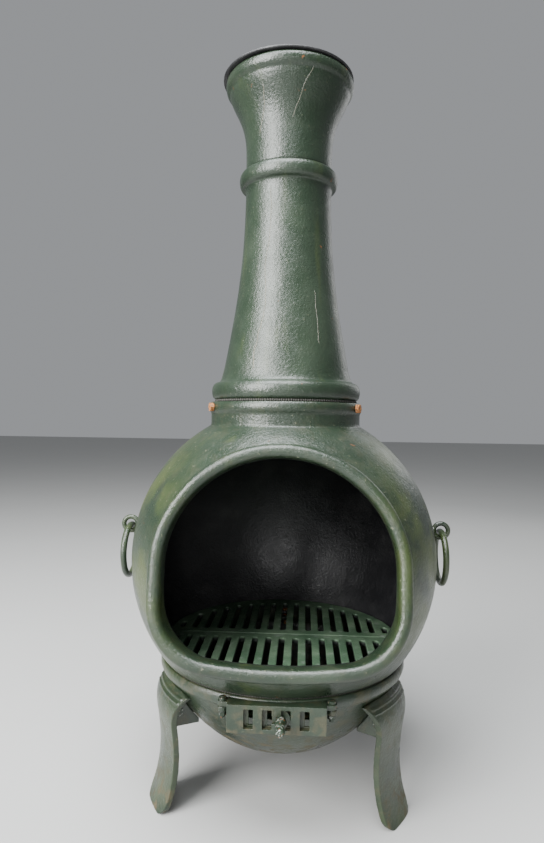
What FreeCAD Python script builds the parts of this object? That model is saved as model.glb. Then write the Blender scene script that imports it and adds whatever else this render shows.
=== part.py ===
import FreeCAD
import Part
import math
import os

# Cast-iron chiminea: a round fire pot on three legs under a flared chimney.
# Millimetres. +Z up, the ground is z = 0, the chimney axis is x = y = 0 and the mouth faces -Y.

# --- driving dimensions -------------------------------------------------------------
BELLY_R = 245.0            # outside radius of the round belly
BELLY_Z = 360.0            # height of the belly's centre
WALL = 6.0                 # wall of the belly and the bowl
FLUE_WALL = 5.5            # wall of the chimney castings
BODY_FOOT_Z = 210.0        # lower edge of the belly casting
BAND_R = 197.0             # rim band around the top of the lower bowl
BAND_Z = (190.0, 208.0)
BOWL_FLOOR_R = 96.0        # flat underside of the bowl
BOWL_FLOOR_Z = 82.0
UPSTAND_R = (178.5, 185.2)  # ring inside the band, centres the belly and carries the grate

MOUTH_TILT = 9.0           # degrees the mouth looks up
MOUTH_HALF_W = 158.0
MOUTH_REACH = (142.0, 134.0)  # the opening above and below the belly's centre line
MOUTH_SHOULDER = (137.0, -8.0)  # radius of the upper side arcs, height of their centres
MOUTH_CORNER = (74.0, -54.0)  # radius of the lower corners, height of their centres
MOUTH_BAND = 19.0          # width of the rolled rim
RIM_ROUND = 8.9            # rounding of the rim's two edges
MOUTH_FACE = 206.0         # rim face, out from the belly's centre
MOUTH_SLEEVE = (175.0, 7.0)  # where the sleeve starts, and its thickness

NECK_R = 121.5
NECK_BORE_R = 113.0
NECK_BEAD_R = 124.5
NECK_Z = (573.0, 592.0, 610.0)  # neck foot, bead foot, top
CHIMNEY_FOOT_Z = 614.0
SPIGOT_R = 112.7
JOINT_Z = 983.0            # top of the collar where the crown is socketed
COLLAR_R = 79.5
SOCKET_R = 64.6
CROWN_RIM_R = 104.0
CROWN_TOP_Z = 1132.0
CROWN_BORE_R = 97.0

LID_R = 107.0
LID_GAP = 0.3
LID_SHIFT = -2.5           # the loose lid has settled a little to one side
GRATE_R = 190.0
GRATE_Z = (219.0, 228.0)
GRATE_SEAM = 2.0           # gap between the two halves
SLOT_PITCH = 21.5
SLOT_WIDTH = 9.5
SLOT_COUNT = 17
SLOT_REACH = (179.0, 166.0)  # half axes of the oval that the slot ends follow
SLOT_START = 18.0          # solid bar beside the seam

VENT_HALF_W = 66.0
VENT_Z = (170.0, 207.0)
VENT_FACE_Y = -210.0
VENT_WALL = 4.5
VENT_SLOTS = (4, 24.8, 12.4, 25.5)  # count, pitch, width, height
SLIDER_Y = (-203.0, -200.0)
SLIDER_SLOT_H = 21.0
SLIDER_REST = 6.2          # at rest the slider half closes the slots
SLIDER_ENDS = (-57.0, 47.0)  # plate ends when its slots line up with the front
VENT_BOLT_X = 73.0
VENT_BOLT_Y = -193.0

LEG_TURN = -2.0            # the three legs sit a little round from the mouth
LEG_ANGLES = {"leg_left": -60.0, "leg_right": 60.0, "leg_rear": 180.0}
LEG_THICK = 8.5
LEG_CHEEK = (16.4, 23.0)   # the two cheeks behind the leg, either side of the bowl's lug
LEG_BOLT = (184.0, 146.0)  # radius and height of the cross bolt

EYE_X = 256.3              # centre of the eye, out from the axis
EYE_Z = 405.0
EYE_RING = (11.5, 3.75)
HINGE_Z = 403.0            # the ring's wire lies in the eye here
RING_R = 41.0
RING_WIRE = 5.0
LUG_ANGLES = (90.0, 180.0, 270.0)
LUG_BOLT_R = 167.0
NECK_SCREW_ANGLES = (-64.0, 64.0, 180.0)

V = FreeCAD.Vector
UP = V(0, 0, 1)
ORIGIN = V(0, 0, 0)


# --- drawing helpers ----------------------------------------------------------------
def line(a, b):
    """A straight edge in the half plane of radius and height."""
    return Part.LineSegment(V(a[0], 0, a[1]), V(b[0], 0, b[1])).toShape()


def arc(a, mid, b):
    return Part.Arc(V(a[0], 0, a[1]), V(mid[0], 0, mid[1]), V(b[0], 0, b[1])).toShape()


def curve(points):
    spline = Part.BSplineCurve()
    spline.interpolate([V(r, 0, z) for r, z in points])
    return spline.toShape()


def chain(points):
    return [line(a, b) for a, b in zip(points, points[1:])]


def turned(edges, angle=360.0, start=0.0):
    """Turn a closed outline of radius and height about the chimney axis."""
    face = Part.Face(Part.Wire(Part.__sortEdges__(edges)))
    face.rotate(ORIGIN, UP, start)
    return face.revolve(ORIGIN, UP, angle)


def box(low, high):
    size = [b - a for a, b in zip(low, high)]
    return Part.makeBox(size[0], size[1], size[2], V(*low))


def rod(radius, start, end):
    way = V(*end).sub(V(*start))
    return Part.makeCylinder(radius, way.Length, V(*start), way)


def hexagon(flats, start, end):
    """A hexagonal bar between two points, measured across its flats."""
    way = V(*end).sub(V(*start))
    corner = flats / math.sqrt(3)
    points = [V(corner * math.cos(math.radians(60 * k)), corner * math.sin(math.radians(60 * k)), 0)
              for k in range(7)]
    bar = Part.Face(Part.makePolygon(points)).extrude(V(0, 0, way.Length))
    bar.Placement = FreeCAD.Placement(V(*start), FreeCAD.Rotation(UP, way))
    return bar


def faced(shape, azimuth):
    """Turn a piece drawn at the front, -Y, to its azimuth; + goes round to the right, +X."""
    turned_shape = shape.copy()
    turned_shape.rotate(ORIGIN, UP, azimuth)
    return turned_shape


def fused(shapes):
    return shapes[0].multiFuse(shapes[1:]).removeSplitter()


def belly_r(z, radius=BELLY_R):
    return math.sqrt(radius ** 2 - (z - BELLY_Z) ** 2)


def belly_z(r, radius=BELLY_R):
    return BELLY_Z + math.sqrt(radius ** 2 - r ** 2)


# --- lower bowl ---------------------------------------------------------------------
def bowl_outline(out):
    """The bowl's outside, moved out by a distance, closed over the top."""
    rim = 189.0 + out
    top = BAND_Z[1]
    edges = [arc((BOWL_FLOOR_R + out, BOWL_FLOOR_Z - out), (149.5 + out * 0.7, 126 - out * 0.7),
                 (rim, BAND_Z[0] - 3))]
    edges += chain([(rim, BAND_Z[0] - 3), (rim, top), (0, top), (0, BOWL_FLOOR_Z - out),
                    (BOWL_FLOOR_R + out, BOWL_FLOOR_Z - out)])
    return turned(edges)


def rim_band():
    low, high = BAND_Z
    edges = [arc((BAND_R - 3, low), (BAND_R, (low + high) / 2), (BAND_R - 3, high))]
    edges += chain([(BAND_R - 3, high), (180, high), (180, low), (BAND_R - 3, low)])
    return turned(edges)


def lower_bowl():
    inner, outer = UPSTAND_R
    top = GRATE_Z[0]
    ring_low = 196.0
    shell = bowl_outline(0).cut(bowl_outline(-WALL))
    upstand = turned(chain([(inner, ring_low), (outer, ring_low), (outer, top), (inner, top), (inner, ring_low)]))
    leg_lugs = [faced(box((-16, -191, 136), (16, -150, 160)), azimuth) for azimuth in leg_azimuths()]
    bowl = fused([shell, rim_band(), upstand] + leg_lugs)
    bowl = bowl.cut(bowl_outline(-WALL).common(rod(inner, (0, 0, 80), (0, 0, top))))
    tabs = [faced(box((-11, -188, 197), (11, -158, 205)), azimuth) for azimuth in LUG_ANGLES]
    bowl = fused([bowl] + tabs)
    for azimuth in LUG_ANGLES:
        bowl = bowl.cut(faced(box((-14, -186.5, BAND_Z[1]), (14, -170, top + 3)), azimuth))
        bowl = bowl.cut(faced(rod(3.3, (0, -LUG_BOLT_R, 190), (0, -LUG_BOLT_R, 210)), azimuth))
    radius, height = LEG_BOLT
    for azimuth in leg_azimuths():
        bowl = bowl.cut(faced(rod(4.3, (-20, -radius, height), (20, -radius, height)), azimuth))
    bowl = bowl.cut(box((-54, -200, 177), (54, -150, 200)))
    for side in (-1, 1):
        x = side * VENT_BOLT_X
        ear = fused([box((x - 7, VENT_BOLT_Y, 191), (x + 7, -172, 199)),
                     rod(7, (x, VENT_BOLT_Y, 191), (x, VENT_BOLT_Y, 199))])
        ear = ear.cut(rod(3.3, (x, VENT_BOLT_Y, 180), (x, VENT_BOLT_Y, 210))).cut(bowl_outline(-WALL))
        bowl = bowl.fuse(ear)
    return bowl.removeSplitter()


# --- belly with mouth and neck ------------------------------------------------------
def mouth_place(shape):
    """Stand a shape drawn along +Z from the belly's centre on the mouth's tilted axis."""
    shape.rotate(ORIGIN, V(1, 0, 0), 90 - MOUTH_TILT)
    shape.translate(V(0, 0, BELLY_Z))
    return shape


def swing(centre, radius, start, end, z):
    """An arc about a centre, from one angle to another."""
    angles = (start, (start + end) / 2, end)
    points = [V(centre[0] + radius * math.cos(a), centre[1] + radius * math.sin(a), z) for a in angles]
    return Part.Arc(*points).toShape()


def closing_arc(reach, side):
    """Radius, and the angle at its end, of the arc that closes a side arc smoothly at some reach."""
    side_r, side_x, side_y = side
    radius = (side_x ** 2 + (reach - side_y) ** 2 - side_r ** 2) / (2 * (reach - side_y - side_r))
    return radius, math.atan2(radius - reach + side_y, side_x)


def mouth_outline(grow, z):
    """The mouth: a round top, straight sides and fuller lower corners, grown all round by a distance."""
    above, below = MOUTH_REACH
    (shoulder_r, shoulder_y), (corner_r, corner_y) = MOUTH_SHOULDER, MOUTH_CORNER
    shoulder_x, corner_x = MOUTH_HALF_W - shoulder_r, MOUTH_HALF_W - corner_r
    top_r, top_a = closing_arc(above, (shoulder_r, shoulder_x, shoulder_y))
    low_r, low_a = closing_arc(below, (corner_r, corner_x, -corner_y))
    side = MOUTH_HALF_W + grow
    edges = [swing((0, above - top_r), top_r + grow, math.pi - top_a, top_a, z),
             swing((shoulder_x, shoulder_y), shoulder_r + grow, top_a, 0, z),
             Part.LineSegment(V(side, shoulder_y, z), V(side, corner_y, z)).toShape(),
             swing((corner_x, corner_y), corner_r + grow, 0, -low_a, z),
             swing((0, low_r - below), low_r + grow, -low_a, low_a - math.pi, z),
             swing((-corner_x, corner_y), corner_r + grow, low_a - math.pi, -math.pi, z),
             Part.LineSegment(V(-side, corner_y, z), V(-side, shoulder_y, z)).toShape(),
             swing((-shoulder_x, shoulder_y), shoulder_r + grow, math.pi, math.pi - top_a, z)]
    return Part.Wire(edges)


def mouth_prism(grow, start, end):
    return Part.Face(mouth_outline(grow, start)).extrude(V(0, 0, end - start))


def in_rim_face(edge):
    """True for an edge that lies in the rim's flat face, before the mouth is stood up."""
    bounds = edge.BoundBox
    return abs(bounds.ZMin - MOUTH_FACE) < 0.01 and abs(bounds.ZMax - MOUTH_FACE) < 0.01


def rolled_rim():
    block = mouth_prism(MOUTH_BAND, 140.0, MOUTH_FACE)
    return mouth_place(block.makeFillet(RIM_ROUND, [edge for edge in block.Edges if in_rim_face(edge)]))


def round_inner_rim(shell):
    """Round the opening's front edge, the one inside the rim's flat face."""
    opening = mouth_place(mouth_outline(0, MOUTH_FACE))
    edges = []
    for edge in shell.Edges:
        span = edge.LastParameter - edge.FirstParameter
        points = [Part.Vertex(edge.valueAt(edge.FirstParameter + k / 4 * span)) for k in range(5)]
        if all(opening.distToShape(point)[0] < 0.02 for point in points):
            edges.append(edge)
    return shell.makeFillet(RIM_ROUND, edges)


def firebox_body():
    neck_foot, bead_foot, neck_top = NECK_Z
    foot, top = BODY_FOOT_Z, belly_z(NECK_R)
    edges = [arc((belly_r(foot), foot), (BELLY_R, BELLY_Z), (NECK_R, top))]
    edges += [line((NECK_R, top), (NECK_R, bead_foot))]
    edges += [arc((NECK_R, bead_foot), (NECK_BEAD_R, (bead_foot + neck_top) / 2), (NECK_R, neck_top))]
    inner = BELLY_R - WALL
    edges += chain([(NECK_R, neck_top), (NECK_BORE_R, neck_top), (NECK_BORE_R, belly_z(NECK_BORE_R, inner))])
    edges += [arc((NECK_BORE_R, belly_z(NECK_BORE_R, inner)), (inner, BELLY_Z), (belly_r(foot, inner), foot))]
    edges += [line((belly_r(foot, inner), foot), (belly_r(foot), foot))]
    shell = turned(edges, start=50)
    hollow = Part.makeSphere(inner - 1, V(0, 0, BELLY_Z))
    rim = rolled_rim().cut(hollow)
    start, thick = MOUTH_SLEEVE
    sleeve = mouth_place(mouth_prism(thick, start, 198.0))
    shell = shell.fuse([rim, sleeve])
    shell = round_inner_rim(shell.cut(mouth_place(mouth_prism(0, 120.0, 260.0))))
    tabs = []
    for azimuth in LUG_ANGLES:
        tab = box((-11, -192, 210), (11, -158, 215)).common(rod(188, (0, 0, 200), (0, 0, 230)))
        tabs.append(faced(tab.cut(rod(3.3, (0, -LUG_BOLT_R, 200), (0, -LUG_BOLT_R, 220))), azimuth))
    shell = shell.fuse(tabs)
    for side in (-1, 1):
        shell = shell.cut(rod(4.3, (side * 225, 0, EYE_Z), (side * 255, 0, EYE_Z)))
    for azimuth in NECK_SCREW_ANGLES:
        shell = shell.cut(faced(rod(4.05, (0, -100, 601), (0, -130, 601)), azimuth))
    return shell.removeSplitter()


# --- chimney ------------------------------------------------------------------------
def chimney_stack():
    outer = [(107.5, 643), (96.5, 693), (87.2, 745), (79.8, 798), (74.3, 850), (71.2, 903), (70.1, 957)]
    inner = [(r - FLUE_WALL, z) for r, z in outer]
    foot = CHIMNEY_FOOT_Z
    bead = [line((SPIGOT_R, 580), (SPIGOT_R, foot)), line((SPIGOT_R, foot), (117, foot)),
            arc((117, foot), (120.5, 628), (115, 640)), line((115, 640), outer[0])]
    collar = [line(outer[-1], (75, 958)), arc((75, 958), (COLLAR_R, 971), (75, JOINT_Z)),
              line((75, JOINT_Z), (SOCKET_R, JOINT_Z)), line((SOCKET_R, JOINT_Z), inner[-1])]
    spigot = [line(inner[0], (106, 620)), line((106, 620), (106, 580)), line((106, 580), (SPIGOT_R, 580))]
    return turned(bead + [curve(outer)] + collar + [curve(inner)] + spigot)


def chimney_crown():
    foot, rim_foot = JOINT_Z + 1.5, 1112.0
    outer = [(70, 1010), (71.5, 1036), (78, 1068), (88.5, 1088), (98.5, rim_foot)]
    inner = [(r - FLUE_WALL, z) for r, z in outer]
    edges = [line((70, foot), outer[0]), curve(outer)]
    edges += [arc(outer[-1], (CROWN_RIM_R, 1122), (101, CROWN_TOP_Z))]
    edges += chain([(101, CROWN_TOP_Z), (CROWN_BORE_R, CROWN_TOP_Z), (CROWN_BORE_R, 1120), inner[-1]])
    edges += [curve(inner)]
    edges += chain([inner[0], (59.5, 998), (59.5, 962), (SOCKET_R - 0.4, 962), (SOCKET_R - 0.4, foot), (70, foot)])
    return turned(edges)


def ring_seal(inner, outer, low, high):
    bulge = (high - low) * 0.35
    edges = [arc((outer - bulge, low), (outer, (low + high) / 2), (outer - bulge, high))]
    edges += chain([(outer - bulge, high), (inner, high), (inner, low), (outer - bulge, low)])
    return turned(edges)


def rain_lid():
    low = CROWN_TOP_Z + LID_GAP
    edges = [arc((LID_R - 1, low), (LID_R, low + 2.2), (LID_R - 1.5, low + 4.5))]
    edges += [line((LID_R - 1.5, low + 4.5), (92, low + 5)), arc((92, low + 5), (50, low + 13), (8, low + 17))]
    edges += chain([(8, low + 17), (3.3, low + 17), (3.3, low + 12.5), (8, low + 12.5)])
    edges += [arc((8, low + 12.5), (50, low + 8.5), (90, low))]
    edges += chain([(90, low), (90, low - 8), (94, low - 8), (94, low), (LID_R - 1, low)])
    lid = turned(edges)
    lid.translate(V(LID_SHIFT, 0, 0))
    return lid


def lid_knob():
    foot = CROWN_TOP_Z + LID_GAP + 17.0
    edges = [line((0, foot), (10, foot)), line((10, foot), (10, foot + 3)),
             arc((10, foot + 3), (6, foot + 9), (9, foot + 14)), arc((9, foot + 14), (14, foot + 21), (9, foot + 28)),
             line((9, foot + 28), (0, foot + 29)), line((0, foot + 29), (0, foot))]
    knob = fused([turned(edges), rod(3.2, (0, 0, foot - 12), (0, 0, foot + 1))])
    knob.translate(V(LID_SHIFT, 0, 0))
    return knob


def lid_nut():
    top = CROWN_TOP_Z + LID_GAP + 12.4
    nut = hexagon(10, (0, 0, top - 5), (0, 0, top)).cut(rod(3.2, (0, 0, top - 6), (0, 0, top + 1)))
    nut.translate(V(LID_SHIFT, 0, 0))
    return nut


# --- grate --------------------------------------------------------------------------
def grate_half(side):
    """One half-moon of the fire grate; side is -1 for the front half and +1 for the rear."""
    low, high = GRATE_Z
    disc = rod(GRATE_R, (0, 0, low), (0, 0, high))
    near = GRATE_SEAM / 2
    half = disc.common(box((-200, near, low), (200, 200, high)))
    cutters = []
    for k in range(SLOT_COUNT):
        x = (k - (SLOT_COUNT - 1) / 2) * SLOT_PITCH
        reach = SLOT_REACH[1] * math.sqrt(1 - (x / SLOT_REACH[0]) ** 2)
        r = SLOT_WIDTH / 2
        cutters.append(box((x - r, SLOT_START + r, low - 1), (x + r, reach - r, high + 1)))
        cutters += [rod(r, (x, y, low - 1), (x, y, high + 1)) for y in (SLOT_START + r, reach - r)]
    half = half.cut(cutters[0].multiFuse(cutters[1:]))
    if side < 0:
        half.rotate(ORIGIN, UP, 180)
    return half


# --- air vent -----------------------------------------------------------------------
def slot_centres(pitch, count):
    return [(k - (count - 1) / 2) * pitch for k in range(count)]


def vent_housing():
    low, high = VENT_Z
    middle = (low + high) / 2
    block = box((-VENT_HALF_W, VENT_FACE_Y, low), (VENT_HALF_W, -165, high))
    block = block.cut(bowl_outline(0.3)).cut(rod(BAND_R + 0.3, (0, 0, low - 5), (0, 0, high + 5)))
    inner_w, inner_z = VENT_HALF_W - VENT_WALL, (low + VENT_WALL, high - VENT_WALL)
    block = block.cut(box((-inner_w, VENT_FACE_Y + VENT_WALL, inner_z[0]), (inner_w, -150, inner_z[1])))
    count, pitch, width, height = VENT_SLOTS
    for x in slot_centres(pitch, count):
        block = block.cut(box((x - width / 2, -220, middle - height / 2), (x + width / 2, -190, middle + height / 2)))
    block = block.cut(box((-pitch / 2, -220, middle - 5), (pitch / 2, -204, middle + 5)))
    rails = [box((-48, SLIDER_Y[1] + 0.3, inner_z[0] - 1), (48, SLIDER_Y[1] + 2.6, inner_z[0] + 2.2)),
             box((-48, SLIDER_Y[1] + 0.3, inner_z[1] - 2.2), (48, SLIDER_Y[1] + 2.6, inner_z[1] + 1))]
    rails += [box((-48, VENT_FACE_Y + VENT_WALL - 1, inner_z[0] - 1), (48, SLIDER_Y[0] - 0.3, inner_z[0] + 1.2)),
              box((-48, VENT_FACE_Y + VENT_WALL - 1, inner_z[1] - 1.2), (48, SLIDER_Y[0] - 0.3, inner_z[1] + 1))]
    guard = rod(BAND_R + 0.3, (0, 0, low), (0, 0, high))
    rails = [rail.cut(guard) for rail in rails]
    ears = []
    for side in (-1, 1):
        x = side * VENT_BOLT_X
        ear = fused([rod(7, (x, VENT_BOLT_Y, 199.3), (x, VENT_BOLT_Y, high - 1)),
                     box((min(x, x - side * 10), -200, 199.3), (max(x, x - side * 10), -186, high - 1))])
        ear = ear.cut(rod(BAND_R + 0.3, (0, 0, low), (0, 0, high)).cut(rod(9, (x, VENT_BOLT_Y, 0), (x, VENT_BOLT_Y, 300))))
        ears.append(ear.cut(rod(3.3, (x, VENT_BOLT_Y, 190), (x, VENT_BOLT_Y, 210))))
    return fused([block] + rails + ears)


def vent_slider():
    """The sliding plate, half closed: its slots stand half a slot to the right of the front's."""
    low, high = VENT_Z[0] + VENT_WALL + 0.3, VENT_Z[1] - VENT_WALL - 0.3
    middle = (low + high) / 2
    left, right = (end + SLIDER_REST for end in SLIDER_ENDS)
    plate = box((left, SLIDER_Y[0], low), (right, SLIDER_Y[1], high))
    count, pitch, width, _ = VENT_SLOTS
    for x in slot_centres(pitch, count):
        x += SLIDER_REST
        plate = plate.cut(box((x - width / 2, -210, middle - SLIDER_SLOT_H / 2),
                              (x + width / 2, -190, middle + SLIDER_SLOT_H / 2)))
    boss = rod(12.0, (SLIDER_REST, SLIDER_Y[0] - 2.1, middle), (SLIDER_REST, SLIDER_Y[1], middle))
    return fused([plate, boss]).cut(rod(3.05, (SLIDER_REST, -220, middle), (SLIDER_REST, -190, middle)))


def slider_knob():
    """Turned pin whose collar bears on the plate through the travel slot."""
    middle = (VENT_Z[0] + VENT_Z[1]) / 2
    tip, neck, seat = -BELLY_R, -211.0, SLIDER_Y[0] - 2.2
    edges = chain([(0, 0), (4, 0), (4, seat - neck), (7.5, seat - neck + 1.5), (7.5, seat - neck + 9),
                   (5.8, seat - neck + 12)])
    edges += [line((5.8, seat - neck + 12), (5.8, seat - tip - 3)),
              arc((5.8, seat - tip - 3), (4.9, seat - tip - 0.9), (2.5, seat - tip))]
    edges += chain([(2.5, seat - tip), (0, seat - tip), (0, 0)])
    pin = turned(edges)
    pin.rotate(ORIGIN, V(1, 0, 0), 90)
    pin.translate(V(SLIDER_REST, seat, middle))
    return fused([pin, rod(3.0, (SLIDER_REST, seat - 1, middle), (SLIDER_REST, -197.4, middle))])


def vent_bolts():
    bolts = []
    for side in (-1, 1):
        x = side * VENT_BOLT_X
        head = rod(5.5, (x, VENT_BOLT_Y, VENT_Z[1] - 0.9), (x, VENT_BOLT_Y, VENT_Z[1] + 3))
        bolts.append(fused([head, rod(3.0, (x, VENT_BOLT_Y, 182), (x, VENT_BOLT_Y, VENT_Z[1]))]))
    return Part.makeCompound(bolts)


def vent_nuts():
    nuts = []
    for side in (-1, 1):
        x = side * VENT_BOLT_X
        nuts.append(hexagon(10, (x, VENT_BOLT_Y, 185.8), (x, VENT_BOLT_Y, 190.9)).cut(rod(3.05, (x, VENT_BOLT_Y, 180), (x, VENT_BOLT_Y, 195))))
    return Part.makeCompound(nuts)


# --- legs ---------------------------------------------------------------------------
def leg_azimuths():
    return [angle + LEG_TURN for angle in LEG_ANGLES.values()]


def leg_outline():
    """Front view of a leg: broad shoulders, a long even shank and a foot with rounded corners."""
    def point(t, z):
        return V(t, 0, z)
    right = [Part.Arc(point(0, 185), point(34, 183.5), point(60, 178)).toShape(),
             Part.Arc(point(60, 178), point(45, 149), point(39, 112)).toShape(),
             Part.Arc(point(39, 112), point(37, 60), point(37, 17)).toShape(),
             Part.Arc(point(37, 17), point(33.5, 6), point(24, 0)).toShape()]
    left = [edge.mirror(ORIGIN, V(1, 0, 0)) for edge in right]
    foot = [Part.LineSegment(point(-24, 0), point(24, 0)).toShape()]
    return Part.Face(Part.Wire(Part.__sortEdges__(right + foot + left)))


def leg_band(out, depth):
    """The leg's side profile turned round the chimney axis, wide enough for one leg."""
    front = [(177, 190), (190, 180), (198, 169), (203, 154), (201, 124), (197, 86), (199, 50), (205, 24), (215, 0)]
    front = [(r + out, z) for r, z in front]
    back = [(r - depth, z) for r, z in front]
    edges = [curve(front), line(front[-1], back[-1]), curve(back), line(back[0], front[0])]
    band = turned(edges, 50, -25)
    band.rotate(ORIGIN, UP, -90)
    return band


def thick_sheet(face):
    prism = face.extrude(V(0, 200, 0))
    prism.translate(V(0, -300, 0))
    return prism


def leg():
    """A leg drawn at the front: a curved strap with two ridges on its shoulder and two cheeks behind."""
    strap = leg_band(0, LEG_THICK).common(thick_sheet(leg_outline()))
    ridges = leg_band(1.6, 4.0).common(fused([box((-53, -300, 173.5), (53, 0, 176.5)),
                                              box((-51, -300, 167.5), (51, 0, 170.0))]))
    radius, height = LEG_BOLT
    near, far = LEG_CHEEK
    inside = leg_band(-3.0, 60.0)
    cheeks = [box((min(side * near, side * far), -205, 122), (max(side * near, side * far), -150, 172)).common(inside)
              for side in (-1, 1)]
    body = fused([strap, ridges] + cheeks)
    body = body.cut(rod(4.3, (-60, -radius, height), (60, -radius, height)))
    body = body.cut(bowl_outline(0.3))
    return body.cut(box((-100, -300, BAND_Z[0] - 0.5), (100, 0, 220)))


def leg_fasteners(kind):
    radius, height = LEG_BOLT
    far = LEG_CHEEK[1]
    pieces = []
    for azimuth in leg_azimuths():
        if kind == "bolt":
            piece = fused([rod(4.0, (-far - 9, -radius, height), (far + 0.1, -radius, height)),
                           hexagon(13, (far, -radius, height), (far + 5.5, -radius, height))])
        else:
            piece = hexagon(13, (-far - 6.5, -radius, height), (-far, -radius, height))
            piece = piece.cut(rod(4.05, (-60, -radius, height), (0, -radius, height)))
        pieces.append(faced(piece, azimuth))
    return Part.makeCompound(pieces)


# --- handles ------------------------------------------------------------------------
def eye_bolt(side):
    ring_r, wire_r = EYE_RING
    loop = Part.makeTorus(ring_r, wire_r, V(side * EYE_X, 0, EYE_Z), V(0, 1, 0))
    seat = belly_r(EYE_Z) + 0.2
    collar = rod(6.5, (side * seat, 0, EYE_Z), (side * (EYE_X - ring_r), 0, EYE_Z))
    shank = rod(4.0, (side * 221, 0, EYE_Z), (side * (EYE_X - ring_r), 0, EYE_Z))
    ball = Part.makeSphere(BELLY_R + 0.2, V(0, 0, BELLY_Z))
    return fused([loop.cut(ball), collar.cut(ball), shank])


def eye_nuts():
    nuts = []
    for side in (-1, 1):
        nut = fused([hexagon(13, (side * 224, 0, EYE_Z), (side * 230.4, 0, EYE_Z)),
                     rod(9, (side * 230, 0, EYE_Z), (side * 232, 0, EYE_Z))])
        nuts.append(nut.cut(rod(4.05, (side * 220, 0, EYE_Z), (side * 240, 0, EYE_Z))))
    return Part.makeCompound(nuts)


def handle_ring(side):
    return Part.makeTorus(RING_R, RING_WIRE, V(side * EYE_X, 0, HINGE_Z - RING_R), V(1, 0, 0))


# --- other fasteners ----------------------------------------------------------------
def body_bolts():
    bolt = fused([rod(3.0, (0, -LUG_BOLT_R, 188), (0, -LUG_BOLT_R, 215.5)),
                  hexagon(10, (0, -LUG_BOLT_R, 215), (0, -LUG_BOLT_R, 218.5))])
    return Part.makeCompound([faced(bolt, azimuth) for azimuth in LUG_ANGLES])


def body_nuts():
    nut = hexagon(10, (0, -LUG_BOLT_R, 191.9), (0, -LUG_BOLT_R, 197)).cut(
        rod(3.05, (0, -LUG_BOLT_R, 185), (0, -LUG_BOLT_R, 200)))
    return Part.makeCompound([faced(nut, azimuth) for azimuth in LUG_ANGLES])


def neck_screws():
    screw = fused([rod(4.0, (0, -(SPIGOT_R + 0.1), 601), (0, -126, 601)),
                   hexagon(13, (0, -NECK_BEAD_R - 0.1, 601), (0, -NECK_BEAD_R - 6.0, 601))])
    return Part.makeCompound([faced(screw, azimuth) for azimuth in NECK_SCREW_ANGLES])


# --- the assembly -------------------------------------------------------------------
def slider_nut():
    middle = (VENT_Z[0] + VENT_Z[1]) / 2
    return rod(5.0, (SLIDER_REST, -199.9, middle), (SLIDER_REST, -197.6, middle)).cut(
        rod(3.05, (SLIDER_REST, -210, middle), (SLIDER_REST, -190, middle)))


def build():
    nodes = {
        "lower_bowl": lower_bowl(),
        "firebox_body": firebox_body(),
        "bowl_seal": ring_seal(187.5, 193.0, BAND_Z[1], BODY_FOOT_Z),
        "neck_seal": ring_seal(112.8, 117.0, NECK_Z[2], CHIMNEY_FOOT_Z),
        "crown_seal": ring_seal(64.8, 70.5, JOINT_Z, JOINT_Z + 1.5),
        "chimney_stack": chimney_stack(),
        "chimney_crown": chimney_crown(),
        "neck_screws": neck_screws(),
        "body_bolts": body_bolts(),
        "body_nuts": body_nuts(),
        "rain_lid": rain_lid(),
        "lid_knob": lid_knob(),
        "lid_nut": lid_nut(),
        "grate_front": grate_half(-1),
        "grate_rear": grate_half(1),
        "vent_housing": vent_housing(),
        "vent_slider": vent_slider(),
        "slider_knob": slider_knob(),
        "slider_nut": slider_nut(),
        "vent_bolts": vent_bolts(),
        "vent_nuts": vent_nuts(),
        "eye_bolt_left": eye_bolt(-1),
        "eye_bolt_right": eye_bolt(1),
        "eye_nuts": eye_nuts(),
        "handle_ring_left": handle_ring(-1),
        "handle_ring_right": handle_ring(1),
        "leg_bolts": leg_fasteners("bolt"),
        "leg_nuts": leg_fasteners("nut"),
    }
    one_leg = leg()
    for name, angle in LEG_ANGLES.items():
        nodes[name] = faced(one_leg, angle + LEG_TURN)
    return nodes


os.makedirs("parts", exist_ok=True)
for node, shape in build().items():
    shape.exportStep("parts/" + node + ".step")
    print(node, "valid", shape.isValid(), "solids", len(shape.Solids), "volume", round(shape.Volume))
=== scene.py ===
"""Cast-iron chiminea: castings with softened edges, weathered green paint, rusty fasteners and soot."""

import math

import bpy
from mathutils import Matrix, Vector


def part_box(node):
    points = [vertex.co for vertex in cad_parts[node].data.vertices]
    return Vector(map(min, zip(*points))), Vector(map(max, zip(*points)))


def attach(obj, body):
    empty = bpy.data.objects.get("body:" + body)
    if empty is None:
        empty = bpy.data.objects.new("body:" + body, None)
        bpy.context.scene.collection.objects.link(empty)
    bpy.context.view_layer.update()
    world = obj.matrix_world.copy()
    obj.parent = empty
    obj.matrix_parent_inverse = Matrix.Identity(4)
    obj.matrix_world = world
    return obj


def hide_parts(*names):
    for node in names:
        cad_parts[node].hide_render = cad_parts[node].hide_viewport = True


bl_info = {
    "name": "Chiminea",
    "version": (1, 0, 0),
    "blender": (4, 5, 0),
    "location": "View3D > Sidebar > Chiminea",
    "description": "Models and paints a cast-iron chiminea around its fixed frame",
    "category": "Object",
}

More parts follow.
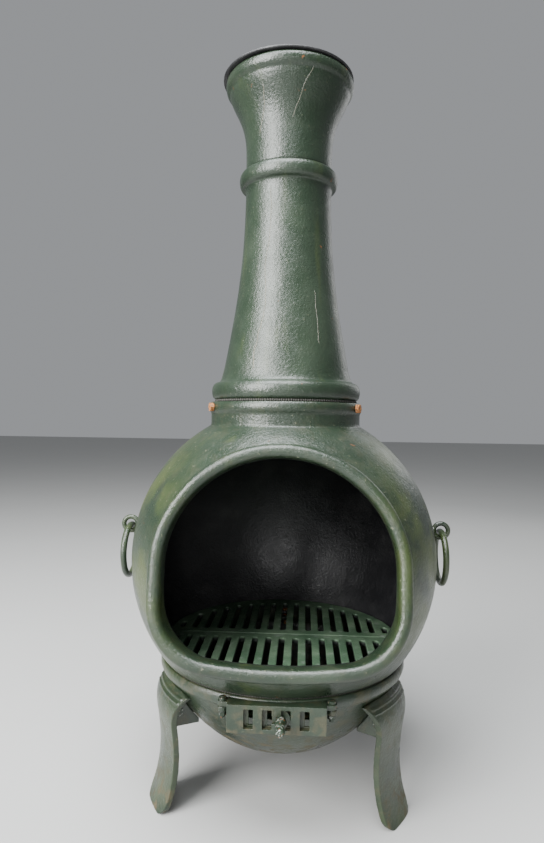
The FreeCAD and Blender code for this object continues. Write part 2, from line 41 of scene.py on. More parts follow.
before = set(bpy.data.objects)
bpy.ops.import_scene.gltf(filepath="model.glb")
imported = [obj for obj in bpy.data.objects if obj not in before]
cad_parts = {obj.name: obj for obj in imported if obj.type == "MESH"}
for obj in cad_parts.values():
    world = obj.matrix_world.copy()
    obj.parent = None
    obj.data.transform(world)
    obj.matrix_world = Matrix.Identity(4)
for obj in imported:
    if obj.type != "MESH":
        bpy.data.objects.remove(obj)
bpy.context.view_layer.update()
MM = 0.001
BELLY_CENTRE = Vector((0.0, 0.0, 0.360))
MOUTH_TILT = math.radians(9.0)
MOUTH_WAY = Vector((0.0, -math.cos(MOUTH_TILT), math.sin(MOUTH_TILT)))
WELD_REACH = 0.00002
BARE_STEEL = (0.20, 0.21, 0.19)
ASH = (0.20, 0.22, 0.20)
LICHEN = (0.20, 0.20, 0.13)
BARE_CRACK = (0.16, 0.15, 0.11)
SOOT_GREY = (0.022, 0.022, 0.022)
SOOT_BLACK_FROM, SOOT_BLACK_TO = 0.2395, 0.2425
SOOT_MOUTH_FROM, SOOT_MOUTH_TO = 0.176, 0.186
GRATE_SLOT_FLOOR, GRATE_SLOT_TOP = 0.2235, 0.2272
CRACK_END = 0.004


# --- settings a user would change ---------------------------------------------------
class ChimineaFinish(bpy.types.PropertyGroup):
    paint: bpy.props.FloatVectorProperty(
        name="Paint", description="Heat-resistant green paint in the shade", subtype="COLOR",
        size=3, default=(0.010, 0.020, 0.010), min=0, max=1)
    paint_pale: bpy.props.FloatVectorProperty(
        name="Chalky paint", description="Paint where the weather has bleached it", subtype="COLOR",
        size=3, default=(0.026, 0.040, 0.024), min=0, max=1)
    # the moss colour also paints a reflection of the grass on the left and right sides
    moss_and_grass_reflection: bpy.props.FloatVectorProperty(
        name="Moss", description="Green-brown film on the sheltered sides", subtype="COLOR",
        size=3, default=(0.052, 0.070, 0.016), min=0, max=1)
    soil: bpy.props.FloatVectorProperty(
        name="Soil", description="Dried soil near the ground", subtype="COLOR",
        size=3, default=(0.075, 0.058, 0.026), min=0, max=1)
    rust: bpy.props.FloatVectorProperty(
        name="Rust", description="Rust on fasteners and chips", subtype="COLOR",
        size=3, default=(0.160, 0.055, 0.016), min=0, max=1)
    soot: bpy.props.FloatVectorProperty(
        name="Soot", description="Soot and black stove paint", subtype="COLOR",
        size=3, default=(0.009, 0.009, 0.010), min=0, max=1)


class ChimineaShape(bpy.types.PropertyGroup):
    casting_wave: bpy.props.FloatProperty(
        name="Casting waviness", description="Height of the uneven skin of a sand casting",
        subtype="DISTANCE", default=0.0007, min=0, max=0.003)
    turns: bpy.props.IntProperty(
        name="Turn steps", description="Steps round a turned casting before it is subdivided",
        default=48, min=16, max=96)


class ChimineaStage(bpy.types.PropertyGroup):
    distance: bpy.props.FloatProperty(
        name="Camera distance", description="From the chimney axis", subtype="DISTANCE", default=1.0)
    height: bpy.props.FloatProperty(
        name="Camera height", description="Above the ground", subtype="DISTANCE", default=0.585)
    azimuth: bpy.props.FloatProperty(
        name="Camera azimuth", description="Round to the stove's right", subtype="ANGLE",
        default=math.radians(3.0))


def finish():
    """The colours that are set in the panel."""
    return bpy.context.scene.chiminea_finish


def shape():
    """The casting's sizes that are set in the panel."""
    return bpy.context.scene.chiminea_shape


# --- modelling helpers --------------------------------------------------------------
def take(piece):
    """Select one object alone and make it active."""
    bpy.ops.object.select_all(action="DESELECT")
    piece.select_set(True)
    bpy.context.view_layer.objects.active = piece


def edit(piece, *actions):
    """Run mesh operators on the whole of a piece."""
    take(piece)
    bpy.ops.object.mode_set(mode="EDIT")
    bpy.ops.mesh.select_all(action="SELECT")
    for action in actions:
        action()
    bpy.ops.object.mode_set(mode="OBJECT")


def weld():
    bpy.ops.mesh.remove_doubles(threshold=WELD_REACH)


def outward():
    bpy.ops.mesh.normals_make_consistent(inside=False)


def apply_modifier(piece, kind, **values):
    take(piece)
    modifier = piece.modifiers.new(kind.title(), kind)
    for key, value in values.items():
        setattr(modifier, key, value)
    bpy.ops.object.modifier_apply(modifier=modifier.name)


def subdivide(piece, levels):
    apply_modifier(piece, "SUBSURF", levels=levels, render_levels=levels)


def cast_skin(piece, height=None, size=0.05):
    """Give the surface the slow unevenness of a sand casting."""
    clouds = bpy.data.textures.new(piece.name + "_skin", "CLOUDS")
    clouds.noise_scale = size
    clouds.noise_depth = 2
    apply_modifier(piece, "DISPLACE", texture=clouds, texture_coords="LOCAL", mid_level=0.5,
                   strength=shape().casting_wave if height is None else height)


def settled(piece):
    """Put the piece's place into its mesh, and shade it smooth."""
    take(piece)
    bpy.ops.object.transform_apply(location=True, rotation=True, scale=True)
    bpy.ops.object.shade_smooth()
    return piece


def stand_for(node):
    """Let a piece stand for a frame node by hiding that node."""
    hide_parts(node)


def casting_from(node, name, grain, keep=1.0, smooth=4):
    """Copy a frame node and soften it: its edges are rounded as the sand leaves them."""
    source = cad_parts[node]
    piece = bpy.data.objects.new(name, source.data.copy())
    bpy.context.scene.collection.objects.link(piece)
    piece.data.materials.clear()
    take(piece)
    bpy.ops.mesh.customdata_custom_splitnormals_clear()
    edit(piece, weld)
    take(piece)
    piece.data.use_remesh_preserve_attributes = False
    piece.data.remesh_voxel_size = grain * 1.0
    piece.data.remesh_voxel_adaptivity = 0.0
    bpy.ops.object.voxel_remesh()
    apply_modifier(piece, "SMOOTH", factor=0.5, iterations=smooth)
    if keep < 1.0:
        apply_modifier(piece, "DECIMATE", ratio=keep)
    stand_for(node)
    return piece


def outline(name, points):
    """Start from one vertex and extrude it along an outline of (radius, height) in millimetres."""
    bpy.ops.object.select_all(action="DESELECT")
    bpy.ops.mesh.primitive_plane_add(size=0.001, location=(0, 0, 0))
    piece = bpy.context.object
    piece.name = name
    bpy.ops.object.mode_set(mode="EDIT")
    bpy.ops.mesh.select_all(action="SELECT")
    bpy.ops.mesh.merge(type="CENTER")
    radius, height = points[0]
    bpy.ops.transform.translate(value=(radius * MM, 0, height * MM))
    for (r0, z0), (r1, z1) in zip(points, points[1:]):
        step = ((r1 - r0) * MM, 0, (z1 - z0) * MM)
        bpy.ops.mesh.extrude_vertices_move(TRANSFORM_OT_translate={"value": step})
    bpy.ops.object.mode_set(mode="OBJECT")
    return piece


def turned(name, points, closed=True, steps=None, levels=2):
    """Spin an outline about the chimney axis and smooth it."""
    ring = points + points[:1] if closed else points
    piece = outline(name, ring)
    count = steps or shape().turns

    def spin():
        bpy.ops.mesh.spin(steps=count, angle=2 * math.pi, center=(0, 0, 0), axis=(0, 0, 1))

    def all_again():
        bpy.ops.mesh.select_all(action="SELECT")
    edit(piece, spin, all_again, weld, outward)
    subdivide(piece, 1 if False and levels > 1 else levels)
    return piece


def beaded(points, crisp):
    """Double the listed corners of an outline, so that smoothing leaves them crisp."""
    out = []
    for k, (r, z) in enumerate(points):
        if k in crisp:
            before, after = points[k - 1], points[(k + 1) % len(points)]
            for r1, z1 in (before, after):
                length = math.hypot(r1 - r, z1 - z)
                share = min(0.3, 0.9 / max(length, 0.001))
                out.append((r + (r1 - r) * share, z + (z1 - z) * share))
        else:
            out.append((r, z))
    return out


def dress(piece, material, body, node=None):
    """Paint a piece, let it ride with its body, and stand for its node if it doesn't already."""
    piece.data.materials.clear()
    piece.data.materials.append(material)
    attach(piece, body)
    if node:
        stand_for(node)
    return piece


# --- material helpers ---------------------------------------------------------------
class Recipe:
    """A material under construction. Its methods add nodes and return their output sockets."""

    def __init__(self, name):
        self.material = bpy.data.materials.new(name)
        self.material.use_nodes = True
        self.tree = self.material.node_tree
        self.shader = self.tree.nodes["Principled BSDF"]
        self.place = self.node("ShaderNodeTexCoord").outputs["Object"]
        self.split = self.node("ShaderNodeSeparateXYZ", Vector=self.place)

    def node(self, kind, **inputs):
        made = self.tree.nodes.new(kind)
        for key, value in inputs.items():
            self.feed(made.inputs[key.replace("_", " ")], value)
        return made

    def feed(self, socket, value):
        if isinstance(value, bpy.types.NodeSocket):
            self.tree.links.new(value, socket)
        else:
            socket.default_value = value

    def noise(self, scale, detail=3.0, distortion=0.0, at=None):
        made = self.node("ShaderNodeTexNoise", Vector=at or self.place, Scale=scale, Detail=detail,
                         Distortion=distortion)
        return made.outputs["Fac"]

    def cells(self, scale, at=None):
        return self.node("ShaderNodeTexVoronoi", Vector=at or self.place, Scale=scale).outputs["Distance"]

    def math(self, operation, a, b=0.0):
        made = self.tree.nodes.new("ShaderNodeMath")
        made.operation = operation
        self.feed(made.inputs[0], a)
        self.feed(made.inputs[1], b)
        return made.outputs[0]

    def fade(self, value, low, high, to_low=0.0, to_high=1.0):
        """Map a value smoothly from low..high onto to_low..to_high."""
        made = self.tree.nodes.new("ShaderNodeMapRange")
        made.interpolation_type = "SMOOTHSTEP"
        for socket, given in zip(made.inputs, (value, low, high, to_low, to_high)):
            self.feed(socket, given)
        return made.outputs["Result"]

    def mix(self, share, first, second):
        made = self.tree.nodes.new("ShaderNodeMix")
        made.data_type = "RGBA"
        sockets = [s for s in made.inputs if s.type == "RGBA"]
        self.feed(made.inputs[0], share)
        for socket, colour in zip(sockets, (first, second)):
            self.feed(socket, colour if isinstance(colour, bpy.types.NodeSocket) else (*colour, 1.0))
        return next(s for s in made.outputs if s.type == "RGBA")

    def bump(self, height, distance, strength=1.0, under=None):
        made = self.node("ShaderNodeBump", Height=height, Distance=distance, Strength=strength)
        if under is not None:
            self.feed(made.inputs["Normal"], under)
        return made.outputs["Normal"]

    def done(self, colour, roughness, normal, metallic=0.0, specular=0.5):
        shader = self.shader.inputs
        self.feed(shader["Base Color"], colour)
        self.feed(shader["Roughness"], roughness)
        self.feed(shader["Normal"], normal)
        shader["Metallic"].default_value = metallic
        shader["Specular IOR Level"].default_value = specular
        return self.material


def azimuth_of(recipe):
    """Angle round the chimney from the front, + to the right."""
    to_front = recipe.math("MULTIPLY", recipe.split.outputs["Y"], -1.0)
    return recipe.math("ARCTAN2", recipe.split.outputs["X"], to_front)


def hairline(recipe, azimuth, start, lean, low, high, width):
    """1 on a thin wandering crack that runs up the casting between two heights."""
    up = recipe.split.outputs["Z"]
    wander = recipe.math("MULTIPLY", recipe.math("SUBTRACT", recipe.noise(9.0, 4.0), 0.5), 0.42)
    climb = recipe.math("MULTIPLY", recipe.math("SUBTRACT", up, low), lean)
    path = recipe.math("ADD", wander, recipe.math("ADD", climb, start))
    off = recipe.math("ABSOLUTE", recipe.math("SUBTRACT", azimuth, path))
    line = recipe.fade(off, width, width * 2.2, 1.0, 0.0)
    above = recipe.fade(up, low - CRACK_END, low + CRACK_END)
    below = recipe.fade(up, high - CRACK_END, high + CRACK_END, 1.0, 0.0)
    span = recipe.math("MULTIPLY", above, below)
    return recipe.math("MULTIPLY", line, span)


def cast_normal(recipe, grain=1.0):
    """Sand grain, small lumps and pits of a painted casting."""
    grit = recipe.noise(650.0, 2.0)
    lumps = recipe.noise(230.0, 4.0, 0.2)
    pits = recipe.fade(recipe.cells(80.0), 0.05, 0.16)
    waves = recipe.noise(30.0, 3.0)
    normal = recipe.bump(waves, 0.0016, 0.6)
    normal = recipe.bump(lumps, 0.0011 * grain, 0.6, under=normal)
    normal = recipe.bump(pits, 0.0003 * grain, 0.4, under=normal)
    return recipe.bump(grit, 0.0005 * grain, 0.6, under=normal)


def painted_casting(name, moss_and_grass_reflection=0.35, soil=0.2, cracks=(), soot_inside=False, ground=0.0):
    """Weathered green paint on cast iron, with a painted reflection of the grass as a moss-coloured tint
    on its left and right sides.
    """
    f = finish()
    r = Recipe(name)
    up = r.split.outputs["Z"]
    bleach = r.fade(r.noise(7.0, 5.0, 0.6), 0.42, 0.72)
    colour = r.mix(r.math("MULTIPLY", bleach, 0.75), f.paint, f.paint_pale)
    colour = r.mix(r.fade(r.noise(46.0, 6.0), 0.50, 0.78, 0.0, 0.30), colour, f.paint_pale)
    drips = r.node("ShaderNodeMapping", Vector=r.place, Scale=(42.0, 42.0, 5.0)).outputs["Vector"]
    colour = r.mix(r.fade(r.noise(1.0, 4.0, at=drips), 0.56, 0.80, 0.0, 0.32), colour, f.moss_and_grass_reflection)
    # partly moss, partly painted reflection of the grass: a patchy yellow-green tint on the left and
    # right sides, where |x| is large
    side = r.fade(r.math("ABSOLUTE", r.split.outputs["X"]), 0.10, 0.24)
    moss_and_reflection_film = r.math("MULTIPLY", r.fade(r.noise(11.0, 5.0, 0.8), 0.38, 0.62), side)
    colour = r.mix(r.math("MULTIPLY", moss_and_reflection_film, moss_and_grass_reflection * 1.6), colour, f.moss_and_grass_reflection)
    colour = r.mix(r.fade(r.noise(230.0, 3.0), 0.66, 0.74, 0.0, moss_and_grass_reflection * 0.8), colour, LICHEN)
    low = r.fade(up, ground, ground + 0.11, 1.0, 0.0)
    patchy = r.fade(r.noise(60.0, 7.0, 0.8), 0.46, 0.68)
    mud = r.math("MULTIPLY", patchy, r.math("ADD", low, soil))
    mud = r.math("MINIMUM", mud, 0.85)
    colour = r.mix(mud, colour, f.soil)
    chips = r.fade(r.noise(64.0, 5.0, 0.4), 0.725, 0.75)
    colour = r.mix(r.math("MULTIPLY", chips, 0.8), colour, f.rust)
    normal = cast_normal(r)
    rough = r.fade(r.noise(30.0, 4.0), 0.30, 0.70, 0.27, 0.37)
    rough = r.math("ADD", rough, r.math("MULTIPLY", mud, 0.35))
    if cracks:
        azimuth = azimuth_of(r)
        total = 0.0
        for start, lean, bottom, top, width in cracks:
            total = r.math("MAXIMUM", total, hairline(r, azimuth, start, lean, bottom, top, width))
        colour = r.mix(r.math("MULTIPLY", total, 0.8), colour, BARE_CRACK)
        normal = r.bump(total, 0.0009, 0.9, under=normal)
    if soot_inside:
        from_centre = r.node("ShaderNodeVectorMath", Vector=r.place)
        from_centre.operation = "DISTANCE"
        from_centre.inputs[1].default_value = BELLY_CENTRE
        along = r.node("ShaderNodeVectorMath", Vector=r.place)
        along.operation = "DOT_PRODUCT"
        along.inputs[1].default_value = MOUTH_WAY
        depth = r.math("SUBTRACT", along.outputs["Value"], BELLY_CENTRE.dot(MOUTH_WAY))
        edge = r.math("MULTIPLY", r.math("SUBTRACT", r.noise(40.0, 3.0), 0.5), 0.010)
        within = r.fade(from_centre.outputs["Value"], SOOT_BLACK_FROM, SOOT_BLACK_TO, 1.0, 0.0)
        behind = r.fade(r.math("ADD", depth, edge), SOOT_MOUTH_FROM, SOOT_MOUTH_TO, 1.0, 0.0)
        soot = r.math("MULTIPLY", within, behind)
        stains = r.mix(r.fade(r.noise(24.0, 5.0), 0.45, 0.75), f.soot, SOOT_GREY)
        colour = r.mix(soot, colour, stains)
        rough = r.math("ADD", rough, r.math("MULTIPLY", soot, 0.03))
    return r.done(colour, rough, normal, specular=0.6)


def grate_paint():
    """Green paint dulled by ash, with painted shade in the slots: below the grate's top it goes to the
    soot colour.
    """
    f = finish()
    r = Recipe("grate_paint")
    worn = r.fade(r.noise(16.0, 5.0), 0.40, 0.66)
    colour = r.mix(worn, (0.045, 0.085, 0.048), (0.090, 0.140, 0.085))
    colour = r.mix(r.fade(r.noise(70.0, 5.0), 0.55, 0.75, 0.0, 0.5), colour, ASH)
    # painted shade: the slot walls and the underside below the grate's top are darkened to the soot
    # colour
    below = r.fade(r.split.outputs["Z"], GRATE_SLOT_FLOOR, GRATE_SLOT_TOP, 1.0, 0.0)
    colour = r.mix(r.math("MULTIPLY", below, 0.9), colour, f.soot)
    return r.done(colour, r.fade(r.noise(40.0), 0.3, 0.7, 0.40, 0.60), cast_normal(r, 1.3))


def black_casting():
    """Matt black stove paint with a little rust."""
    r = Recipe("black_casting")
    colour = r.mix(r.fade(r.noise(30.0, 5.0), 0.4, 0.7), finish().soot, (0.030, 0.030, 0.031))
    colour = r.mix(r.fade(r.noise(90.0, 5.0), 0.70, 0.76, 0.0, 0.6), colour, finish().rust)
    return r.done(colour, r.fade(r.noise(50.0), 0.3, 0.7, 0.45, 0.65), cast_normal(r))


def rusty_steel(name, rust_share):
    """Zinc-grey steel going to rust."""
    f = finish()
    r = Recipe(name)
    patches = r.fade(r.noise(150.0, 6.0, 0.5), 0.62 - rust_share * 0.35, 0.72 - rust_share * 0.30)
    bright = r.mix(r.fade(r.noise(300.0, 3.0), 0.3, 0.7), (0.20, 0.21, 0.20), (0.34, 0.36, 0.35))
    scale = r.mix(r.fade(r.noise(420.0, 4.0), 0.35, 0.65), f.rust, (0.42, 0.19, 0.07))
    colour = r.mix(patches, bright, scale)
    rough = r.fade(patches, 0.0, 1.0, 0.34, 0.85)
    normal = r.bump(r.noise(380.0, 5.0), 0.0006, 0.7)
    return r.done(colour, rough, normal, metallic=0.35)


def worn_paint(name, bare):
    """Green paint rubbed off to steel on a handled or wrenched piece."""
    f = finish()
    r = Recipe(name)
    colour = r.mix(r.fade(r.noise(120.0, 5.0), 0.4, 0.65), f.paint, f.paint_pale)
    rubbed = r.fade(r.noise(210.0, 5.0, 0.4), 0.68 - bare * 0.3, 0.72 - bare * 0.3)
    colour = r.mix(rubbed, colour, BARE_STEEL)
    colour = r.mix(r.fade(r.noise(330.0, 4.0), 0.62, 0.66), colour, f.rust)
    rough = r.fade(rubbed, 0.0, 1.0, 0.36, 0.28)
    return r.done(colour, rough, r.bump(r.noise(420.0, 4.0), 0.0004, 0.6), metallic=0.2)


def fire_rope():
    """Sooty twisted rope."""
    r = Recipe("fire_rope")
    strands = r.node("ShaderNodeTexWave", Vector=r.place, Scale=90.0, Distortion=3.0).outputs["Fac"]
    colour = r.mix(strands, (0.020, 0.020, 0.018), (0.075, 0.072, 0.062))
    return r.done(colour, 0.92, r.bump(strands, 0.0012, 0.8))


# --- pieces -------------------------------------------------------------------------
STACK_OUTLINE = [
    (112.4, 590), (112.4, 613.4), (117.2, 614.2), (120.4, 618), (122.0, 627), (120.6, 636), (116.0, 641),
    (109.6, 642), (107.0, 646), (104.3, 655), (101.4, 668), (96.5, 693), (91.8, 719), (87.3, 745),
    (83.2, 772), (79.7, 798), (76.7, 824), (74.2, 850), (72.3, 877), (71.2, 905), (70.5, 930),
    (70.2, 950), (70.9, 956.8), (75.6, 958.0), (79.7, 962.0), (81.2, 970.5), (79.9, 979.2), (75.6, 983.0),
    (70.0, 983.2), (65.2, 982.4), (64.7, 976), (64.7, 950), (66.6, 880), (74.2, 798), (86.3, 719),
    (101.6, 645), (105.6, 622), (106.2, 590),
]
CROWN_OUTLINE = [
    (70.2, 984.7), (70.3, 990), (70.1, 1003), (70.4, 1020), (71.6, 1036), (74.4, 1052), (79.4, 1069),
    (86.6, 1084.5), (93.2, 1097), (97.0, 1105.5), (98.0, 1110.5), (100.2, 1112.6), (103.6, 1116.2),
    (105.2, 1122.6), (104.4, 1128.6), (101.6, 1131.9), (98.2, 1131.9), (97.1, 1130.4), (97.0, 1121.5),
    (92.5, 1108), (82.0, 1088), (73.0, 1068), (66.5, 1040), (64.7, 1012), (64.5, 986.5), (66.5, 984.7),
]
STACK_CRACKS = [(-0.50, 0.70, 0.66, 0.94, 0.0045), (0.60, -0.50, 0.70, 0.78, 0.0035)]
CROWN_CRACKS = [(-0.62, 3.4, 1.030, 1.092, 0.0045), (0.10, 5.0, 1.046, 1.110, 0.0040)]


class CHIMINEA_OT_stack(bpy.types.Operator):
    """Turn the tapering chimney tube with its base flange and collar"""
    bl_idname = "chiminea.stack"
    bl_label = "Chimney stack"

    def execute(self, context):
        piece = turned("stack_casting", STACK_OUTLINE)
        cast_skin(piece, size=0.06)
        paint = painted_casting("stack_paint", 0.2, 0.02, STACK_CRACKS)
        dress(settled(piece), paint, "stove", "chimney_stack")
        return {"FINISHED"}


class CHIMINEA_OT_crown(bpy.types.Operator):
    """Turn the flared crown that is socketed in the collar"""
    bl_idname = "chiminea.crown"
    bl_label = "Chimney crown"

    def execute(self, context):
        piece = turned("crown_casting", CROWN_OUTLINE)
        cast_skin(piece, size=0.05)
        paint = painted_casting("crown_paint", 0.25, 0.02, CROWN_CRACKS)
        dress(settled(piece), paint, "stove", "chimney_crown")
        return {"FINISHED"}


class CHIMINEA_OT_lid(bpy.types.Operator):
    """Turn the loose black lid and its knob"""
    bl_idname = "chiminea.lid"
    bl_label = "Rain lid"

    def execute(self, context):
        low, top = (corner[2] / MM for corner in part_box("rain_lid"))
        middle = (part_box("lid_knob")[0][0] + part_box("lid_knob")[1][0]) / 2
        foot = low + 8.0
        plate = [(90, foot), (90, low + 0.3), (94, low + 0.3), (94, foot), (105.5, foot),
                 (106.9, foot + 1.2), (106.9, foot + 3.4), (105.2, foot + 4.6), (92, foot + 5.1),
                 (72, foot + 9.6), (50, foot + 13), (24, foot + 15.8), (8, top - 0.1), (3.4, top - 0.1),
                 (3.4, foot + 12.6), (8, foot + 12.6), (50, foot + 8.5), (74, foot + 4.8)]
        lid = turned("lid_casting", beaded(plate, {0, 1, 2, 3, 8, 12, 13, 14, 15}))
        knob = [(0, top), (10, top), (10, top + 3), (7, top + 6), (6, top + 10), (8.5, top + 14),
                (13, top + 17), (14.2, top + 21.5), (12.5, top + 26), (7, top + 28.8), (0, top + 29)]
        ball = turned("lid_knob_casting", beaded(knob, {1}), closed=False, steps=24)
        for piece in (lid, ball):
            edit(piece, lambda: bpy.ops.transform.translate(value=(middle, 0, 0)))
        paint = black_casting()
        cast_skin(lid, 0.0004)
        dress(settled(lid), paint, "lid", "rain_lid")
        dress(settled(ball), paint, "lid", "lid_knob")
        return {"FINISHED"}


class CHIMINEA_OT_belly(bpy.types.Operator):
    """Soften the round belly with its mouth rim and neck, and soot its inside"""
    bl_idname = "chiminea.belly"
    bl_label = "Firebox body"

    def execute(self, context):
        piece = casting_from("firebox_body", "belly_casting", 0.0024, keep=0.30, smooth=3)
        cast_skin(piece, size=0.07)
        dress(settled(piece), painted_casting("belly_paint", 0.55, 0.10, soot_inside=True), "stove")
        return {"FINISHED"}


class CHIMINEA_OT_bowl(bpy.types.Operator):
    """Soften the lower bowl with its rim band and lugs"""
    bl_idname = "chiminea.bowl"
    bl_label = "Lower bowl"

    def execute(self, context):
        piece = casting_from("lower_bowl", "bowl_casting", 0.0020, keep=0.45, smooth=5)
        cast_skin(piece, size=0.05)
        dress(settled(piece), painted_casting("bowl_paint", 0.4, 0.35, ground=0.06), "stove")
        return {"FINISHED"}


class CHIMINEA_OT_legs(bpy.types.Operator):
    """Soften the three curved legs"""
    bl_idname = "chiminea.legs"
    bl_label = "Legs"

    def execute(self, context):
        paint = painted_casting("leg_paint", 0.35, 0.30, ground=-0.03)
        for side in ("left", "right", "rear"):
            piece = casting_from("leg_" + side, "leg_casting_" + side, 0.0012, keep=0.7, smooth=6)
            cast_skin(piece, size=0.03)
            dress(settled(piece), paint, "stove")
        return {"FINISHED"}


class CHIMINEA_OT_vent(bpy.types.Operator):
    """Soften the slotted vent box, its sliding plate and the knob"""
    bl_idname = "chiminea.vent"
    bl_label = "Air vent"

    def execute(self, context):
        box = casting_from("vent_housing", "vent_casting", 0.0007, keep=0.5, smooth=4)
        dress(settled(box), painted_casting("vent_paint", 0.4, 0.25, ground=0.10), "stove")
        plate = casting_from("vent_slider", "slider_plate", 0.0005, keep=0.4, smooth=3)
        dress(settled(plate), painted_casting("slider_paint", 0.2, 0.2, ground=0.10), "air_slider")
        pin = casting_from("slider_knob", "slider_pin", 0.0004, keep=0.6, smooth=5)
        dress(settled(pin), worn_paint("worn_pin", 0.45), "air_slider")
        return {"FINISHED"}


class CHIMINEA_OT_grates(bpy.types.Operator):
    """Soften the two halves of the slotted grate"""
    bl_idname = "chiminea.grates"
    bl_label = "Grates"

    def execute(self, context):
        paint = grate_paint()
        for half in ("front", "rear"):
            piece = casting_from("grate_" + half, "grate_casting_" + half, 0.0014, keep=0.45, smooth=4)
            cast_skin(piece, 0.0005, size=0.04)
            dress(settled(piece), paint, half + "_grate")
        return {"FINISHED"}


class CHIMINEA_OT_handles(bpy.types.Operator):
    """Model the hanging rings, and soften the eyes that hold them"""
    bl_idname = "chiminea.handles"
    bl_label = "Ring handles"

    def execute(self, context):
        paint = painted_casting("handle_paint", 0.35, 0.12)
        for side in ("left", "right"):
            low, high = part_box("handle_ring_" + side)
            middle = [(a + b) / 2 for a, b in zip(low, high)]
            wire = (high[0] - low[0]) / 2
            radius = (high[2] - low[2]) / 2 - wire
            bpy.ops.object.select_all(action="DESELECT")
            bpy.ops.mesh.primitive_torus_add(
                location=middle, rotation=(0, math.pi / 2, 0), major_radius=radius, minor_radius=wire,
                major_segments=96, minor_segments=28)
            ring = bpy.context.object
            ring.name = "ring_casting_" + side
            settled(ring)
            cast_skin(ring, 0.0006, size=0.02)
            dress(settled(ring), paint, side + "_ring", "handle_ring_" + side)
            eye = casting_from("eye_bolt_" + side, "eye_casting_" + side, 0.0005, keep=0.6, smooth=6)
            dress(settled(eye), paint, "stove")
        return {"FINISHED"}


class CHIMINEA_OT_fasteners(bpy.types.Operator):
    """Soften the screws, bolts and nuts, and rust them"""
    bl_idname = "chiminea.fasteners"
    bl_label = "Fasteners"

    def execute(self, context):
        rusty = rusty_steel("rusted_steel", 1.0)
        worn = worn_paint("worn_fastener", 0.30)
        rows = (("neck_screws", rusty), ("body_bolts", rusty), ("body_nuts", rusty), ("vent_bolts", worn),
                ("vent_nuts", worn), ("leg_bolts", worn), ("leg_nuts", worn), ("eye_nuts", rusty))
        for node, steel in rows:
            piece = casting_from(node, node + "_worn", 0.0004, keep=0.35, smooth=4)
            dress(settled(piece), steel, "stove")
        piece = casting_from("lid_nut", "lid_nut_worn", 0.0003, keep=0.4, smooth=3)
        dress(settled(piece), rusty, "lid")
        piece = casting_from("slider_nut", "slider_nut_worn", 0.0003, keep=0.4, smooth=3)
        dress(settled(piece), worn, "air_slider")
        return {"FINISHED"}


class CHIMINEA_OT_seals(bpy.types.Operator):
    """Turn the fire-rope seals in the three joints"""
    bl_idname = "chiminea.seals"
    bl_label = "Fire-rope seals"

    def execute(self, context):
        rope = fire_rope()
        for node, inner in (("bowl_seal", 187.5), ("neck_seal", 112.8), ("crown_seal", 64.8)):
            low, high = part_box(node)
            outer = high[0] / MM
            foot, top = low[2] / MM, high[2] / MM
            middle = (foot + top) / 2
            ring = [(inner, foot), (outer - 0.6, foot), (outer, middle), (outer - 0.6, top), (inner, top)]
            piece = turned(node + "_rope", ring, levels=1)
            dress(settled(piece), rope, "stove", node)
        return {"FINISHED"}


# --- stage --------------------------------------------------------------------------
SENSOR_WIDTH = 36.0
LENS = 25.8363
CAMERA_ASIDE = 0.0221
CAMERA_NOD = math.radians(0.33146)
CAMERA_ROLL = math.radians(0.8)


def softbox(name, place, target, width, height, power, colour=(1, 1, 1)):
    """Add a soft rectangular lamp that faces a target."""
    bpy.ops.object.light_add(type="AREA", location=place)
    lamp = bpy.context.object
    lamp.name = name
    lamp.data.shape = "RECTANGLE"
    lamp.data.size, lamp.data.size_y = width, height
    lamp.data.energy = power
    lamp.data.color = colour
    lamp.rotation_euler = (Vector(target) - Vector(place)).to_track_quat("-Z", "Y").to_euler()


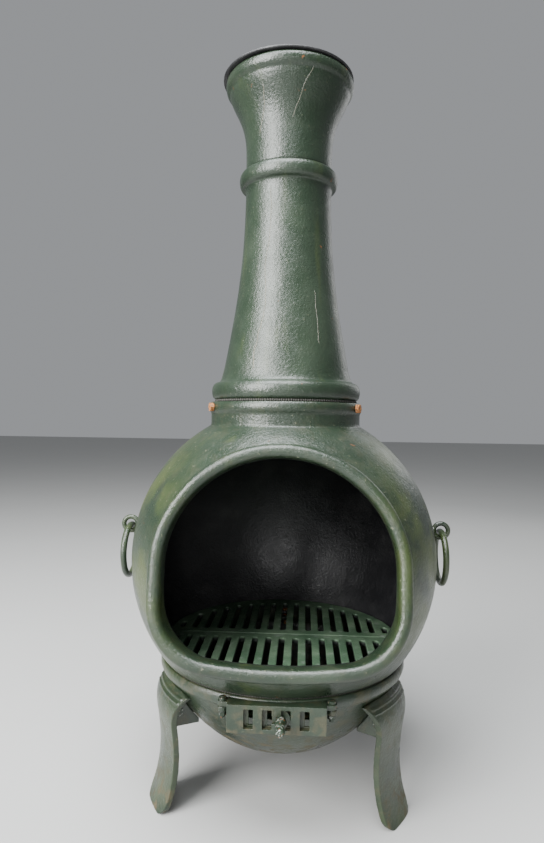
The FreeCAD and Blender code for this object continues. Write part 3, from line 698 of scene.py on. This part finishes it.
class CHIMINEA_OT_stage(bpy.types.Operator):
    """Set the pale floor, the soft light and the camera"""
    bl_idname = "chiminea.stage"
    bl_label = "Stage"

    def execute(self, context):
        stage = context.scene.chiminea_stage
        bpy.ops.object.select_all(action="DESELECT")
        bpy.ops.mesh.primitive_plane_add(size=30, location=(0, 0, 0))
        floor = context.object
        floor.name = "floor"
        pale = Recipe("pale_floor")
        tone = pale.mix(pale.noise(3.0), (0.42, 0.42, 0.41), (0.44, 0.44, 0.43))
        floor.data.materials.append(pale.done(tone, 0.9, pale.bump(pale.noise(80.0), 0.0002, 0.2)))
        world = bpy.data.worlds.new("overcast")
        world.use_nodes = True
        sky = world.node_tree.nodes["Background"].inputs
        sky["Color"].default_value = (0.93, 0.96, 1.0, 1.0)
        sky["Strength"].default_value = 0.34
        context.scene.world = world
        softbox("key", (-1.9, -2.1, 1.7), (0, 0, 0.75), 1.9, 2.2, 290)
        softbox("sky", (-0.3, -0.7, 2.7), (0, -0.1, 0.4), 1.9, 1.7, 190, (0.95, 0.98, 1.0))
        softbox("front", (0.3, -3.0, 1.0), (0, 0, 0.4), 0.5, 0.7, 14)
        softbox("back", (1.6, 2.2, 1.6), (0, 0, 0.6), 1.0, 1.6, 8)

        turn = stage.azimuth
        right = Vector((math.cos(turn), math.sin(turn), 0))
        forward = Vector((-math.sin(turn), math.cos(turn), 0))
        place = -forward * stage.distance - right * CAMERA_ASIDE + Vector((0, 0, stage.height))
        bpy.ops.object.camera_add(location=place)
        camera = context.object
        camera.name = "camera"
        camera.data.sensor_width = SENSOR_WIDTH
        camera.data.lens = LENS
        camera.rotation_mode = "XYZ"
        camera.rotation_euler = (math.pi / 2 - CAMERA_NOD, 0, turn)
        bpy.context.view_layer.update()
        camera.rotation_euler.rotate_axis("Z", CAMERA_ROLL)
        camera.data.clip_end = 60
        context.scene.camera = camera
        return {"FINISHED"}


class CHIMINEA_PT_pieces(bpy.types.Panel):
    """Lists the steps that build the chiminea"""
    bl_idname = "CHIMINEA_PT_pieces"
    bl_label = "Chiminea"
    bl_space_type = "VIEW_3D"
    bl_region_type = "UI"
    bl_category = "Chiminea"

    def draw(self, context):
        column = self.layout.column()
        for step in STEPS:
            column.operator(step.bl_idname)
        for group in (finish(), shape(), context.scene.chiminea_stage):
            for key in group.__annotations__:
                column.prop(group, key)


STEPS = (CHIMINEA_OT_stage, CHIMINEA_OT_stack, CHIMINEA_OT_crown, CHIMINEA_OT_lid, CHIMINEA_OT_belly,
         CHIMINEA_OT_bowl, CHIMINEA_OT_legs, CHIMINEA_OT_vent, CHIMINEA_OT_grates, CHIMINEA_OT_handles,
         CHIMINEA_OT_fasteners, CHIMINEA_OT_seals)
GROUPS = {"chiminea_finish": ChimineaFinish, "chiminea_shape": ChimineaShape,
          "chiminea_stage": ChimineaStage}


def register():
    for kind in (*GROUPS.values(), *STEPS, CHIMINEA_PT_pieces):
        bpy.utils.register_class(kind)
    for name, kind in GROUPS.items():
        setattr(bpy.types.Scene, name, bpy.props.PointerProperty(type=kind))


def unregister():
    for name in GROUPS:
        delattr(bpy.types.Scene, name)
    for kind in (CHIMINEA_PT_pieces, *reversed(STEPS), *GROUPS.values()):
        bpy.utils.unregister_class(kind)


def main():
    """Build every piece in order."""
    register()
    for step in STEPS:
        family, action = step.bl_idname.split(".")
        getattr(getattr(bpy.ops, family), action)()


if __name__ == "__main__":
    main()
